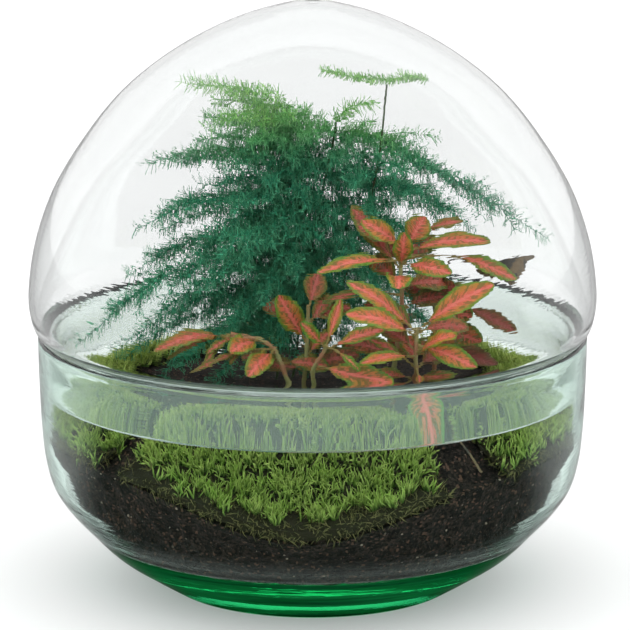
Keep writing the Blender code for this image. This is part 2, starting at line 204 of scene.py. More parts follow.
class Value:
    """An output socket. Operators on it add Math nodes, and mix() blends two colours by it."""

    def __init__(self, finish, socket):
        self.finish, self.socket = finish, socket

    def math(self, operation, *terms):
        return self.finish.node("ShaderNodeMath", {"operation": operation}, dict(enumerate(terms)))[0]

    __add__ = __radd__ = operator("ADD")
    __mul__ = __rmul__ = operator("MULTIPLY")
    __sub__, __rsub__ = operator("SUBTRACT"), operator("SUBTRACT", True)
    __pow__, __abs__ = operator("POWER"), operator("ABSOLUTE")

    def step(self, low, high):
        """0 below low, 1 above high and a soft step between, also with low above high."""
        limits = {"Value": self, "From Min": low, "From Max": high}
        return self.finish.node("ShaderNodeMapRange", {"interpolation_type": "SMOOTHSTEP"}, limits)[0]

    def mix(self, first, second):
        """The first colour where this is 0 and the second where it is 1."""
        sockets = {0: self, 6: first, 7: second}
        return self.finish.node("ShaderNodeMix", {"data_type": "RGBA"}, sockets)[2]


class Node:
    def __init__(self, finish, node):
        self.finish, self.node = finish, node

    def __getitem__(self, output):
        return Value(self.finish, self.node.outputs[output])


# %% A node tree and its one method for nodes
class Nodes:
    """A node tree under construction."""

    def __init__(self, tree):
        self.tree = tree

    def feed(self, target, value):
        if isinstance(value, Value):
            self.tree.links.new(value.socket, target)
        elif isinstance(value, tuple) and len(value) == 3 and target.type == "RGBA":
            target.default_value = (*value, 1.0)
        else:
            target.default_value = value

    def node(self, kind, settings=None, sockets=None):
        """Adds a node: its settings first, then the values or links of its sockets."""
        made = self.tree.nodes.new(kind)
        for setting, value in (settings or {}).items():
            setattr(made, setting, value)
        for socket, value in (sockets or {}).items():
            self.feed(made.inputs[socket], value)
        return Node(self, made)

    def axes(self, vector):
        """X, Y and Z of a vector."""
        return self.node("ShaderNodeSeparateXYZ", None, {0: vector})


# %% A finish
class Finish(Nodes):
    """A material under construction, for one of the record's material slots."""

    def __init__(self, name, slot, **plain):
        self.material = bpy.data.materials.new(name)
        self.material.use_nodes = True
        super().__init__(self.material.node_tree)
        self.slot = slot
        self.shader = self.tree.nodes["Principled BSDF"]
        self.output = self.tree.nodes["Material Output"]
        for socket, value in plain.items():
            self.shader.inputs[socket.replace("_", " ")].default_value = value

    def place(self):
        """Where a point of the surface is, in metres."""
        return self.node("ShaderNodeTexCoord")["Object"]

    def mark(self, name):
        """The three numbers of a mark as values."""
        vector = self.node("ShaderNodeAttribute", {"attribute_name": name})["Vector"]
        parts = self.axes(vector)
        return parts["X"], parts["Y"], parts["Z"]

    def noise(self, size, detail=3.0, rough=0.5, at=None):
        """Noise from 0 to 1 with features of that size in metres."""
        sockets = {"Vector": at or self.place(), "Scale": 1 / size, "Detail": detail, "Roughness": rough}
        return self.node("ShaderNodeTexNoise", None, sockets)[0]

    def stretched(self, *scale):
        """The place with each axis scaled, so that noise on it runs in streaks."""
        return self.node("ShaderNodeMapping", None, {"Vector": self.place(), "Scale": scale})[0]

    def cells(self, size, output="Distance"):
        """Cells of that size in metres: the distance from each cell's centre, or its own colour."""
        sockets = {"Vector": self.place(), "Scale": 1 / size}
        return self.node("ShaderNodeTexVoronoi", None, sockets)[output]

    def cell_chances(self, size):
        """Three random numbers for each cell."""
        return self.node("ShaderNodeSeparateColor", None, {0: self.cells(size, "Color")})

    def bumps(self, height, depth):
        """Lets a height from 0 to 1 tilt the surface as a relief of that depth in metres."""
        bump = self.node("ShaderNodeBump", None, {"Distance": depth, "Height": height})[0]
        self.feed(self.shader.inputs["Normal"], bump)

    def dress(self, colour, roughness, relief, depth):
        """Colour and roughness over the surface, and a relief of that depth in metres."""
        self.surface(Base_Color=colour, Roughness=roughness)
        self.bumps(relief, depth)

    def surface(self, **sockets):
        for socket, value in sockets.items():
            self.feed(self.shader.inputs[socket.replace("_", " ")], value)


# %% [markdown]
# ## Glass
# Blown glass is clear where it is thin and coloured where light runs a long way in it. A tinted surface can't
# show that, so the glass is a closed wall with an inside: the surface only bends light and a volume takes
# out red along the way. Shadow rays can't bend and would leave a black shadow, so for those, and for light
# that already bounced off a leaf, the wall is simply clear.


# %% The glass finishes
def glass_finish(name, slot, absorbs, density, passes, wave, clearest, misted=(0.0, 0.0)):
    """Clear glass. Between the two heights its faces carry a film of condensed moisture."""
    glass = Finish(name, slot, Roughness=0.0, IOR=1.5, Transmission_Weight=1.0)
    drawn = glass.noise(0.012, 1.0, 0.5, glass.stretched(1.0, 1.0, 9.0))
    ripple = glass.noise(0.035, 1.0) * 0.6 + drawn * 0.4
    glass.bumps(ripple, wave)
    glass.surface(Base_Color=glass.noise(0.05).mix(clearest, tuple(0.985 * value for value in clearest)))
    ray = glass.node("ShaderNodeLightPath")
    straight = ray["Is Shadow Ray"].math("MAXIMUM", ray["Is Shadow Ray"], ray["Is Diffuse Ray"])
    clear = glass.node("ShaderNodeBsdfTransparent", None, {"Color": passes})[0]
    shader = Value(glass, glass.shader.outputs[0])
    if misted[1] > misted[0]:
        film = glass.node("ShaderNodeBsdfDiffuse", None, {"Color": (0.78, 0.88, 0.8)})[0]
        level = glass.axes(glass.place())["Z"]
        cover = level.step(misted[1] + 1 * MM, misted[1] - 1 * MM) * (glass.noise(0.02) * 0.06 + 0.05)
        shader = glass.node("ShaderNodeMixShader", None, {0: cover, 1: shader, 2: film})[0]
    mixed = glass.node("ShaderNodeMixShader", None, {0: straight, 1: shader, 2: clear})[0]
    glass.feed(glass.output.inputs["Surface"], mixed)
    inside = glass.node("ShaderNodeVolumeAbsorption", None, {"Color": absorbs, "Density": density})[0]
    glass.feed(glass.output.inputs["Volume"], inside)
    return glass


bowl_glass = glass_finish("bowl glass", "bowl_glass", absorbs=(0.0, 0.93, 0.6), density=20.0,
                          passes=(0.95, 0.985, 0.975), wave=0.00009, clearest=(1.0, 1.0, 1.0))
neck = solid("glass_dome")[0][:, 2].min(), solid("glass_bowl")[0][:, 2].max()
dome_glass = glass_finish("dome glass", "dome_glass", absorbs=(0.35, 0.5, 0.47), density=9.0,
                          passes=(0.96, 0.975, 0.97), wave=0.00005, clearest=(0.93, 0.935, 0.935),
                          misted=neck)

# %% [markdown]
# Light from all round is trapped in the thick foot and leaves it after more turns than a render follows, so
# the foot would come out black. A faint glow stands for that light. It is streaked, as blown glass is.

# %% The glow in the foot
foot_height = bowl_glass.axes(bowl_glass.place())["Z"]
streaks = bowl_glass.noise(0.05, 3.0, 0.6, bowl_glass.stretched(1.0, 1.0, 30.0)).step(0.35, 0.65)
trapped = foot_height.step(29 * MM, 17 * MM) * foot_height.step(1 * MM, 5 * MM)
emerald = streaks.mix((0.0004, 0.009, 0.0032), (0.0022, 0.036, 0.013))
bowl_glass.surface(Emission_Color=trapped.mix((0.0, 0.0, 0.0), emerald), Emission_Strength=1.0)

# %% [markdown]
# The glass is round, so its whole form is in one outline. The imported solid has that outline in 48 steps, fine
# for weight and collision but faceted to the eye. Reading the outline, smoothing its curved runs and turning
# it again in 144 steps takes the facets away and keeps the outer size to a tenth of a millimetre.


# %% Outlines of the glass
def outline(name):
    """Radius and height along the glass, from its lowest point on the axis round to the other one."""
    points, edges = solid(name)
    places, merge = np.unique(points.round(6), axis=0, return_inverse=True)
    edges = merge.ravel()[edges]
    on_plane = (abs(places[:, 1]) < 1e-6) & (places[:, 0] > -1e-6)
    beside = {}
    for a, b in edges[on_plane[edges].all(1)]:
        beside.setdefault(a, set()).add(b)
        beside.setdefault(b, set()).add(a)
    ends = [i for i in beside if len(beside[i]) == 1]
    walk = [min(ends, key=lambda i: places[i, 2])]
    while following := beside[walk[-1]] - set(walk):
        walk.append(following.pop())
    line = places[walk][:, [0, 2]]
    return line if line[0, 0] < 1e-6 else np.vstack([line[0] * (0, 1), line])


SMOOTHING, SHARP_TURN = 4, 30.5      # new points for each old one, and the turn in degrees that stays sharp


def rounded(line):
    """The outline with its curved runs smoothed and its corners kept."""
    gaps = spans(line)[:, None]
    along = np.diff(line, axis=0) / gaps
    turns = np.degrees(np.arccos(np.clip((along[1:] * along[:-1]).sum(1), -1, 1)))
    before, after = along[[0, *range(len(along))]], along[[*range(len(along)), -1]]
    near, far = gaps[[0, *range(len(gaps))]], gaps[[*range(len(gaps)), -1]]
    slope = (before * far + after * near) / (near + far)
    sharp = np.append(np.insert(turns > SHARP_TURN, 0, True), True)[:, None]
    leave = (np.where(sharp, after, slope)[:-1] * gaps)[:, None]
    arrive = (np.where(sharp, before, slope)[1:] * gaps)[:, None]
    t = (np.arange(SMOOTHING) / SMOOTHING)[None, :, None]
    start, step = line[:-1, None], np.diff(line, axis=0)[:, None]
    square, cube = 3 * step - 2 * leave - arrive, leave + arrive - 2 * step
    curve = start + t * leave + t ** 2 * square + t ** 3 * cube
    return np.vstack([curve.reshape(-1, 2), line[-1]])


WALL, KNEE_LOW, KNEE_HIGH, KNEE_BLEND = 3.7 * MM, 27 * MM, 75 * MM, 4 * MM


def even_wall(line):
    """The bowl's outline with the knee of its inside laid parallel to the outside, up to about 2.3 mm off the
    packed one. A wall that tapers works as a prism there and hides what is behind it."""
    rim = line[:, 1].argmax()
    outer, inner = rounded(line[:rim + 1]), line[rim:]
    along = unit(np.gradient(outer, axis=0))
    beside = (outer + np.stack([-along[:, 1], along[:, 0]], 1) * WALL)[::-2]
    knee = beside[(beside[:, 1] > KNEE_LOW) & (beside[:, 1] < KNEE_HIGH)]
    above, below = inner[inner[:, 1] >= KNEE_HIGH], inner[inner[:, 1] < KNEE_LOW - KNEE_BLEND]
    return np.vstack([line[:rim], above, knee, below])


bowl_line, dome_line = even_wall(outline("glass_bowl")), outline("glass_dome")
bowl_inside = bowl_line[bowl_line[:, 1].argmax():][::-1]
dome_inside = dome_line[:dome_line[:, 1].argmin() + 1][::-1]
print("points in the outlines:", len(bowl_line), len(dome_line))


# %% Turn the glass
TURNS = 144


def add_glass(name, line, finish):
    ring = line[1:-1]
    around = np.arange(TURNS)
    headings = around * math.tau / TURNS
    points = np.empty((len(ring), TURNS, 3))
    points[..., 0] = ring[:, :1] * np.cos(headings)
    points[..., 1] = ring[:, :1] * np.sin(headings)
    points[..., 2] = ring[:, 1:]
    rows = len(ring)
    faces = skin(rows, TURNS)[:2 * (rows - 1) * TURNS]
    first, last = rows * TURNS, rows * TURNS + 1
    beside, end = (around + 1) % TURNS, (rows - 1) * TURNS
    caps = [(0 * around + first, beside, around), (0 * around + last, end + around, end + beside)]
    faces = np.concatenate([faces] + [np.stack(cap, -1) for cap in caps])
    ends = [(0, 0, line[0, 1]), (0, 0, line[-1, 1])]
    add_piece(name, np.vstack([points.reshape(-1, 3), ends]), faces, finish, [name], sharp=38)


add_glass("glass_bowl", rounded(bowl_line), bowl_glass)
add_glass("glass_dome", rounded(dome_line), dome_glass)


# %% Keep the planting off the glass
def inside_glass(points, clear=0.5 * MM, pressed=0.0):
    """Moves points in towards the axis where they would reach into the wall. What lies nearer to the wall
    than pressed is moved out towards it, as damp soil clings to glass."""
    low = points[:, 2] < dome_inside[0, 1]
    walls = [np.interp(points[:, 2], line[:, 1], line[:, 0]) for line in (bowl_inside, dome_inside)]
    limit = np.where(low, *walls) - clear
    radius = np.maximum(np.hypot(points[:, 0], points[:, 1]), 1e-9)
    gap = np.maximum(limit - radius, 0)
    gap = gap * np.clip(gap / pressed, 0.2, 1) if pressed else gap
    kept = points.copy()
    kept[:, :2] *= np.where(radius > 1e-6, (limit - gap) / radius, 1)[:, None]
    return kept


# %% [markdown]
# ## Potting soil
# Moist peat and bark break into crumbs of every size, down to dust. One smooth block looks like chocolate,
# and loose grains alone would need millions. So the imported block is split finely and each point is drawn
# inwards by a field of cells, which leaves rounded lumps, and 9,000 loose crumbs are set into it.


# %% Split, displace and scatter
def triangles(name):
    """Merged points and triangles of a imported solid."""
    points, _ = solid(name)
    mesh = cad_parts[name].data
    mesh.calc_loop_triangles()
    faces = np.empty(3 * len(mesh.loop_triangles), int)
    mesh.loop_triangles.foreach_get("vertices", faces)
    places, merge = np.unique(points.round(6), axis=0, return_inverse=True)
    return places, merge.ravel()[faces].reshape(-1, 3)


def split(points, faces):
    """Every triangle as four."""
    pairs = np.sort(np.concatenate([faces[:, [0, 1]], faces[:, [1, 2]], faces[:, [2, 0]]]), axis=1)
    edges, which = np.unique(pairs, axis=0, return_inverse=True)
    ab, bc, ca = len(points) + which.reshape(3, -1)
    a, b, c = faces.T
    fours = [(a, ab, ca), (ab, b, bc), (ca, bc, c), (ab, bc, ca)]
    faces = np.concatenate([np.stack(four, -1) for four in fours])
    return np.vstack([points, points[edges].mean(1)]), faces


def normals(points, faces):
    a, b, c = points[faces].transpose(1, 0, 2)
    total = np.zeros_like(points)
    for corner in range(3):
        np.add.at(total, faces[:, corner], np.cross(b - a, c - a))
    return unit(total)


def scatter(points, faces, weight, count, dice):
    """Random places on a mesh, even over its area times a weight for each face, and the normals there."""
    a, b, c = points[faces].transpose(1, 0, 2)
    facing = np.cross(b - a, c - a)
    share = np.linalg.norm(facing, axis=1) * weight
    chosen = dice.choice(len(faces), count, p=share / share.sum())
    u, v = dice.random((2, count, 1))
    over = u + v > 1
    u, v = np.where(over, 1 - u, u), np.where(over, 1 - v, v)
    places = a[chosen] + (b - a)[chosen] * u + (c - a)[chosen] * v
    return places, unit(facing[chosen])


def lumps(points, size):
    """From 0 at the middle of a lump to about 1 between lumps of that size."""
    return np.array([noise.voronoi(Vector(p) / size)[0][0] for p in points])


def rolling(points, size):
    """Smooth ups and downs of that size, from -1 to 1."""
    return np.array([noise.fractal(Vector(p) / size, 1.0, 2.0, 2) for p in points])


# %% Loose crumbs
def crumbs(places, inward, sizes, dice):
    """Angular crumbs of 8 triangles at the places, sunk a little along the inward directions."""
    corners = np.array([(1, 0, 0), (0, 1, 0), (-1, 0, 0), (0, -1, 0), (0, 0, 1), (0, 0, -1)], float)
    faces = [(k, (k + 1) % 4, 4) for k in range(4)] + [((k + 1) % 4, k, 5) for k in range(4)]
    count, sizes = len(places), sizes[:, None, None]
    rough = corners * dice.uniform(0.65, 1.25, (count, len(corners), 1))
    rough = rough * dice.uniform(0.6, 1.0, (count, 1, 3))
    turned = rough @ np.linalg.qr(dice.normal(size=(count, 3, 3)))[0]
    return many(places[:, None] + inward[:, None] * sizes * 0.5 + turned * sizes, np.array(faces))


# %% The soil finish
soil = Finish("potting soil", "potting_soil", Specular_IOR_Level=0.25)
soil_kind, soil_pale, _ = soil.mark("crumb")
dust = soil.noise(0.0012, 5.0, 0.7)
patch = soil.noise(0.011, 3.0)
grain = soil.cell_chances(0.0013)
tone = (dust.step(0.3, 0.75) * 0.5 + grain["Red"].step(0.2, 1.0) * 0.5) * (patch.step(0.25, 0.7) * 0.5 + 0.5)
peat = (tone ** 1.5).mix((0.0012, 0.0008, 0.0006), (0.07, 0.044, 0.034))
browned = (grain["Green"].step(0.92, 0.95) * 0.8).mix(peat, (0.12, 0.06, 0.04))
grit = soil.cell_chances(0.0019)
speck = soil.cells(0.0019).step(0.4, 0.28) * grit["Blue"].step(0.975, 0.985)
speckled = (speck * 0.8).mix(browned, (0.36, 0.28, 0.22))
toned = (soil_kind * 0.75).mix(speckled, (0.13, 0.075, 0.045))
soil_colour = soil_pale.mix(toned, (0.45, 0.38, 0.3))
soil.dress(soil_colour, patch * 0.25 + 0.7, dust * 0.6 + soil.cells(0.0013) * 0.4, 0.0009)


# %% The soil
CRUMBS, CRUMB_POINTS = 9000, 6


def add_soil():
    dice = np.random.default_rng(11)
    points, faces = split(*split(*split(*triangles("potting_soil"))))
    out = normals(points, faces)
    depth = 0.3 + 1.5 * lumps(points, 6 * MM) + 1.1 * np.abs(rolling(points, 16 * MM))
    points = inside_glass(points - out * depth[:, None] * MM, 0.2 * MM, 7 * MM)
    upward = points[faces].mean(1)[:, 2] > 30 * MM
    places, facing = scatter(points, faces, np.where(upward, 1.0, 0.3), CRUMBS, dice)
    sizes = dice.uniform(0.5, 1.0, CRUMBS) ** 3 * 1.9 * MM
    loose, loose_faces = crumbs(places, -facing, sizes, dice)
    kinds = np.repeat(dice.random(CRUMBS) ** 3, CRUMB_POINTS)
    pale = np.repeat((dice.random(CRUMBS) > 0.965) & (sizes < 1.2 * MM), CRUMB_POINTS)
    mark = np.zeros((len(points) + len(loose), 3))
    mark[len(points):, 0], mark[len(points):, 1] = kinds, pale
    every, every_faces = merged([(points, faces), (inside_glass(loose), loose_faces)])
    add_piece("potting_soil", every, every_faces, soil, ["potting_soil"], crumb=mark)
    print("soil triangles:", tally["potting_soil"])


add_soil()

# %% [markdown]
# ## Moss
# Cushion moss is a carpet of short upright shoots, brown at the root and bright at the tip. Hair particles
# would grow it, but they don't travel with a mesh, so each shoot is a real three-sided blade with one bend in
# it. They grow in small tufts that lean apart, with dark gaps between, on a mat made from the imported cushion.

# %% The moss finish
moss = Finish("moss", "moss", Specular_IOR_Level=0.2)
moss_height, moss_chance, moss_patch = moss.mark("blade")
young = (moss_chance * 0.6 + moss_patch * 0.6).mix((0.29, 0.5, 0.05), (0.68, 0.76, 0.22))
leafy = moss_height.step(0.15, 1.0).mix((0.05, 0.115, 0.016), young)
dead = moss_chance.mix((0.07, 0.05, 0.02), (0.26, 0.21, 0.085))
straw = moss_height.step(0.005, 0.02).mix((0.022, 0.014, 0.008), dead)
rooted = moss_height.step(0.22, 0.02).mix(leafy, straw)
fibre = moss.noise(0.0011, 2.0)
moss_colour = (fibre * 0.35).mix(rooted, (0.03, 0.045, 0.012))
moss.dress(moss_colour, fibre * 0.25 + 0.55, fibre, 0.0004)


# %% Blades and cushions
BLADE_POINTS, SHOOTS, SECTORS = 7, 8, 60      # SECTORS round the axis, each with its own lowest rim


def blades(roots, lean, height, width, dice):
    """Three-sided blades with one bend, from roots along a lean. Their mark is height, chance and patch."""
    count = len(roots)
    bend = lean + dice.normal(0, 0.22, (count, 3)) - (0, 0, 0.12)
    middle = roots + lean * height[:, None] * 0.55
    tip = middle + unit(bend) * height[:, None] * 0.5
    side = unit(np.cross(lean, dice.normal(size=(count, 3))))
    front = np.cross(side, lean)
    corners = [side, -0.5 * side + 0.87 * front, -0.5 * side - 0.87 * front]
    low = [roots + corner * width[:, None] * 0.5 for corner in corners]
    high = [middle + corner * width[:, None] * 0.42 for corner in corners]
    bodies = np.stack(low + high + [tip], 1)
    walls = [(0, 1, 4), (0, 4, 3), (1, 2, 5), (1, 5, 4), (2, 0, 3), (2, 3, 5)]
    walls += [(3, 4, 6), (4, 5, 6), (5, 3, 6), (2, 1, 0)]
    return many(bodies, np.array(walls))


def add_moss(name, tufts, bare, seed):
    """A cushion whose lowest rim, bare metres high, shows roots and dead fibres and no green."""
    dice = np.random.default_rng(seed)
    points, faces = split(*split(*triangles(name)))
    out = normals(points, faces)
    depth = 1.2 + 1.3 * lumps(points, 6 * MM)
    mat = inside_glass(points - out * depth[:, None] * MM, 0.4 * MM, 7 * MM)
    facing = unit(np.cross(*(mat[faces[:, k]] - mat[faces[:, 0]] for k in (1, 2))))
    middle = mat[faces].mean(1)
    degrees = np.degrees(np.arctan2(middle[:, 1], middle[:, 0]))
    heading = np.round(degrees / (360 / SECTORS)).astype(int) % SECTORS
    lowest = np.full(SECTORS, 1.0)
    np.minimum.at(lowest, heading, middle[:, 2])
    risen = middle[:, 2] - lowest[heading] + 3 * MM * rolling(middle, 9 * MM)
    planted = (facing[:, 2] > -0.3) & (risen > bare)
    centres, up = scatter(mat, faces, planted * 1.0, tufts, dice)
    swell = rolling(centres, 14 * MM)
    centres, up, swell = (np.repeat(values, SHOOTS, axis=0) for values in (centres, up, swell))
    aside = dice.normal(0, 1, centres.shape)
    aside -= up * (aside * up).sum(1)[:, None]
    count = len(centres)
    height = (7.2 + 2.0 * swell + dice.normal(0, 1.5, count)).clip(2.5, 11) * MM
    lean = unit(up * 0.5 + (0, 0, 0.65) + aside * 0.34)
    roots = centres + aside * 0.6 * MM - up * 1.5 * MM
    green = blades(roots, lean, height, dice.uniform(0.8, 1.35, count) * MM, dice)
    low = (facing[:, 2] > -0.6) & (risen < bare + 4 * MM) & (facing[:, 2] < 0.9)
    fibres = 2 * tufts
    ends, outward = scatter(mat, faces, low * 1.0, fibres, dice)
    lean = unit(outward * 0.6 - (0, 0, 0.1) + dice.normal(0, 0.7, ends.shape))
    size = dice.uniform(3.0, 8.0, fibres) * MM
    fringe = blades(ends - outward * 0.8 * MM, lean, size, dice.uniform(0.3, 0.65, fibres) * MM, dice)
    every, every_faces = merged([(mat, faces), green, fringe])
    mark = np.zeros((len(every), 3))
    rise = np.tile([0, 0, 0, 0.55, 0.55, 0.55, 1.0], count + fibres)
    mark[len(mat):, 0] = rise * np.repeat([1.0, 0.12], [BLADE_POINTS * count, BLADE_POINTS * fibres])
    mark[len(mat):, 1] = np.repeat(dice.random(count + fibres), BLADE_POINTS)
    mark[len(mat):, 2] = np.repeat(np.append(swell * 0.5 + 0.5, np.zeros(fibres)), BLADE_POINTS)
    add_piece(name, inside_glass(every), every_faces, moss, [name], blade=mark)


add_moss("moss_front", 950, 8 * MM, 21)
add_moss("moss_left", 720, 2 * MM, 22)
add_moss("moss_right", 640, 3 * MM, 23)
print("moss triangles:", sum(tally[name] for name in tally if name.startswith("moss")))

# %% [markdown]
# ## The asparagus fern
# What looks like a leaf is a wiry branch with side twigs, set all round with soft needles about 6 mm long.
# A picture of a frond on a flat card would do from one side only. Here every needle is a solid sliver with an
# edge at its root and another across its tip: four triangles each, so that sixty thousand stay a light mesh.


# %% Twigs and needles
WIDE = 0.23 * MM      # half the width of a needle
WHORL = 3             # needles that stand together
NEARLY_UP = (0.02, 0.03, 1.0)      # no branch runs exactly this way, so a side of it can be found
STEM_CUTS, GROUND = 9, np.zeros((1, 3))


def read_along(at, marks, values):
    """Rows of values between marks, read at other places."""
    return np.stack([np.interp(at, marks, values[:, k]) for k in range(3)], 1)


def tubes(lines, radii, around=3):
    """Round bodies along many lines at once, each with the same number of points."""
    along = unit(np.gradient(lines, axis=1))
    side = unit(np.cross(along, (0.31, 0.87, 0.38)))
    above = np.cross(side, along)
    turn = (np.arange(around) * math.tau / around)[:, None]
    ring = side[:, :, None] * np.cos(turn) + above[:, :, None] * np.sin(turn)
    bodies = lines[:, :, None] + ring * np.broadcast_to(radii, lines.shape[:2])[..., None, None]
    return many(bodies.reshape(len(lines), -1, 3), skin(lines.shape[1], around))


def needles(lines, spacing, length, dice):
    """Slivers in whorls along lines: each stands out from its twig and leans towards the twig's tip."""
    places, heading = [], []
    for line in lines:
        reach = np.append(0, spans(line).cumsum())
        at = np.arange(spacing * 0.7, reach[-1], spacing)
        at = at + dice.uniform(-0.3, 0.3, len(at)) * spacing
        places.append(read_along(at, reach, line))
        heading.append(read_along(at, reach, np.gradient(line, axis=0)))
    places = np.repeat(np.concatenate(places), WHORL, axis=0)
    heading = unit(np.repeat(np.concatenate(heading), WHORL, axis=0))
    count = len(places)
    side = unit(np.cross(heading, NEARLY_UP))
    above = np.cross(side, heading)
    turn = dice.uniform(0, math.tau, (count, 1))
    lean = np.radians(dice.uniform(48, 76, (count, 1)))
    out = side * np.cos(turn) + above * np.sin(turn)
    along = heading * np.cos(lean) + out * np.sin(lean)
    tips = places + along * length * dice.uniform(0.65, 1.15, (count, 1))
    flat = unit(np.cross(along, dice.normal(size=(count, 3))))
    upright = np.cross(along, flat)
    corners = [places - flat * WIDE, places + flat * WIDE]
    corners += [tips - upright * WIDE * 0.7, tips + upright * WIDE * 0.7]
    return many(np.stack(corners, 1), np.array([(0, 1, 2), (1, 0, 3), (2, 3, 0), (3, 2, 1)]))


def side_twigs(line, first, last, spacing, reach, dice, fan):
    """Side twigs off a branch, left and right in turn, longest near its foot."""
    count = max(2, int(spans(line).sum() * (last - first) / spacing))
    share = np.linspace(first, last, count) + dice.uniform(-0.3, 0.3, count) * (last - first) / count
    at, marks = share * (len(line) - 1), np.arange(len(line))
    foot = read_along(at, marks, line)
    along = unit(read_along(at, marks, np.gradient(line, axis=0)))
    side = unit(np.cross(along, NEARLY_UP)) * np.where(np.arange(count) % 2, 1, -1)[:, None]
    way = unit(along * 0.62 + side * 0.78 + dice.normal(0, fan, (count, 3)) + (0, 0, 0.08))
    size = reach * (1 - 0.65 * (share - first) / (last - first)) * dice.uniform(0.7, 1.15, count)
    t = np.linspace(0, 1, 5)[:, None]
    size = size[:, None, None]
    return foot[:, None] + way[:, None] * size * t + (along[:, None] * 0.22 - (0, 0, 0.2)) * size * t ** 2


# %% The fern's finishes
fern = Finish("fern needles", "fern_needles", Specular_IOR_Level=0.3)
fern_tip, fern_chance, fern_young = fern.mark("needle")
old = fern_chance.mix((0.008, 0.17, 0.085), (0.065, 0.45, 0.24))
fresh = fern_chance.mix((0.1, 0.42, 0.03), (0.42, 0.76, 0.15))
grown = fern_young.step(0.15, 0.85).mix(old, fresh)
tipped = (fern_tip * 0.35).mix(grown, (0.16, 0.3, 0.13))
bloom = fern.noise(0.004, 2.0)
fern_colour = (bloom * 0.3).mix(tipped, (0.015, 0.14, 0.085))
fern.dress(fern_colour, bloom * 0.2 + 0.5, bloom, 0.0001)

bark = Finish("fern stem", "fern_stem", Specular_IOR_Level=0.35)
rib_place = {"Vector": bark.place(), "Scale": 260.0}
rib = bark.node("ShaderNodeTexWave", {"bands_direction": "Z"}, rib_place)
grain = bark.noise(0.0016, 3.0)
stem_colour = grain.mix((0.03, 0.06, 0.026), (0.075, 0.125, 0.045))
ribbed = (rib[1] * 0.25).mix(stem_colour, (0.11, 0.1, 0.05))
bark.dress(ribbed, grain * 0.3 + 0.4, grain, 0.0002)


# %% Sprays
MAIN_POINTS, NEEDLE_POINTS = 26, 4


def add_spray(name, lines, twig_lines, stands_for, length, spacing, young, dice):
    """A spray from its main branches and side twigs, with needles on all of them."""
    mains = np.stack([smooth(line, MAIN_POINTS) for line in lines])
    taper = np.linspace(0.42, 0.16, MAIN_POINTS) * MM
    parts = [tubes(mains, taper), tubes(twig_lines, np.linspace(0.22, 0.12, 5) * MM)]
    wood = sum(len(points) for points, _ in parts)
    parts.append(needles(mains, spacing, length, dice))
    parts.append(needles(twig_lines, spacing, length * 0.9, dice))
    points, faces = merged(parts)
    mark = np.zeros((len(points), 3))
    spikes = (len(points) - wood) // NEEDLE_POINTS
    mark[wood:, 0] = np.tile([0, 0, 1, 1], spikes)
    mark[wood:, 1] = np.repeat(dice.random(spikes), NEEDLE_POINTS)
    mark[:wood, 1] = 0.2
    mark[:, 2] = young + np.clip((points[:, 2] - 0.2) / 0.055, 0, 1) * 0.75
    add_piece(name, inside_glass(points, 1.2 * MM), faces, fern, stands_for, needle=mark)


stem_points = {name: solid(name)[0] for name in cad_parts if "_stem" in name}
fern_feet = np.vstack([stem_points[name] for name in stem_points if name.startswith("fern")])
sprays = sorted(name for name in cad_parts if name.startswith("fern_spray"))
for number, name in enumerate(sprays):
    dice = np.random.default_rng(100 + number)
    line = smooth(course(name, fern_feet, STEM_CUTS)[0], 40)
    length = spans(line).sum()
    crown = name == "fern_spray_crown"
    reach = 9 * MM if crown else min(0.34 * length, 30 * MM)
    last = 0.95 if crown else 0.74
    twigs = side_twigs(line, 0.03, last, (2.0 if crown else 2.4) * MM, reach, dice, 0.25)
    size, gap = (3.4, 0.8) if crown else (6.2, 1.4)
    add_spray(name, [line], twigs, [name], size * MM, gap * MM, 0.1, dice)

# %% [markdown]
# Between the long sprays the stems carry many short shoots, which make the dense heart of the plant. They
# stand round each stem in a spiral, a golden angle apart, as on most plants, so that few hide another.


# %% Short shoots on the stems
GOLDEN_ANGLE = 2.39996


def add_shoots(name, lowest, highest, spacing, reach, leftward, seed):
    dice = np.random.default_rng(seed)
    line = smooth(course(name, GROUND, STEM_CUTS)[0], 60)
    heights = np.arange(lowest, min(highest, line[-1, 2]), spacing)
    heights = heights + dice.uniform(-0.4, 0.4, len(heights)) * spacing
    foot = read_along(heights, line[:, 2], line)
    turn = np.arange(len(foot)) * GOLDEN_ANGLE + dice.uniform(0, 6)
    up = np.clip((heights - 0.146) / 0.1, 0, 1)
    way = unit(np.stack([np.cos(turn), np.sin(turn), 0.05 + 0.55 * up], 1))
    t = np.linspace(0, 1, 7)[:, None]
    size = reach * (1 - 0.45 * up) * (1 - leftward * np.cos(turn)) * dice.uniform(0.75, 1.15, len(foot))
    size, droop = size[:, None, None], (0.5 - 0.25 * up)[:, None, None]
    lines = foot[:, None] + way[:, None] * size * t - np.array([0, 0, 1.0]) * droop * size * t ** 2
    twigs = [side_twigs(smooth(one, 20), 0.08, 0.85, 3.0 * MM, 15 * MM, dice, 0.55) for one in lines]
    shoots = name.replace("stem", "shoots")
    add_spray(shoots, lines, np.concatenate(twigs), (), 5.8 * MM, 1.4 * MM, 0.0, dice)


add_shoots("fern_stem_left", 0.13, 0.238, 1.25 * MM, 52 * MM, 0.5, 201)
add_shoots("fern_stem_middle", 0.128, 0.233, 2.5 * MM, 40 * MM, 0.0, 202)
add_shoots("fern_stem_right", 0.145, 0.22, 2.1 * MM, 44 * MM, -0.3, 203)
print("fern triangles:", sum(tally[name] for name in tally if name.startswith("fern")))


# %% Stems of the fern
RINGS, SWELLINGS = 50, 6


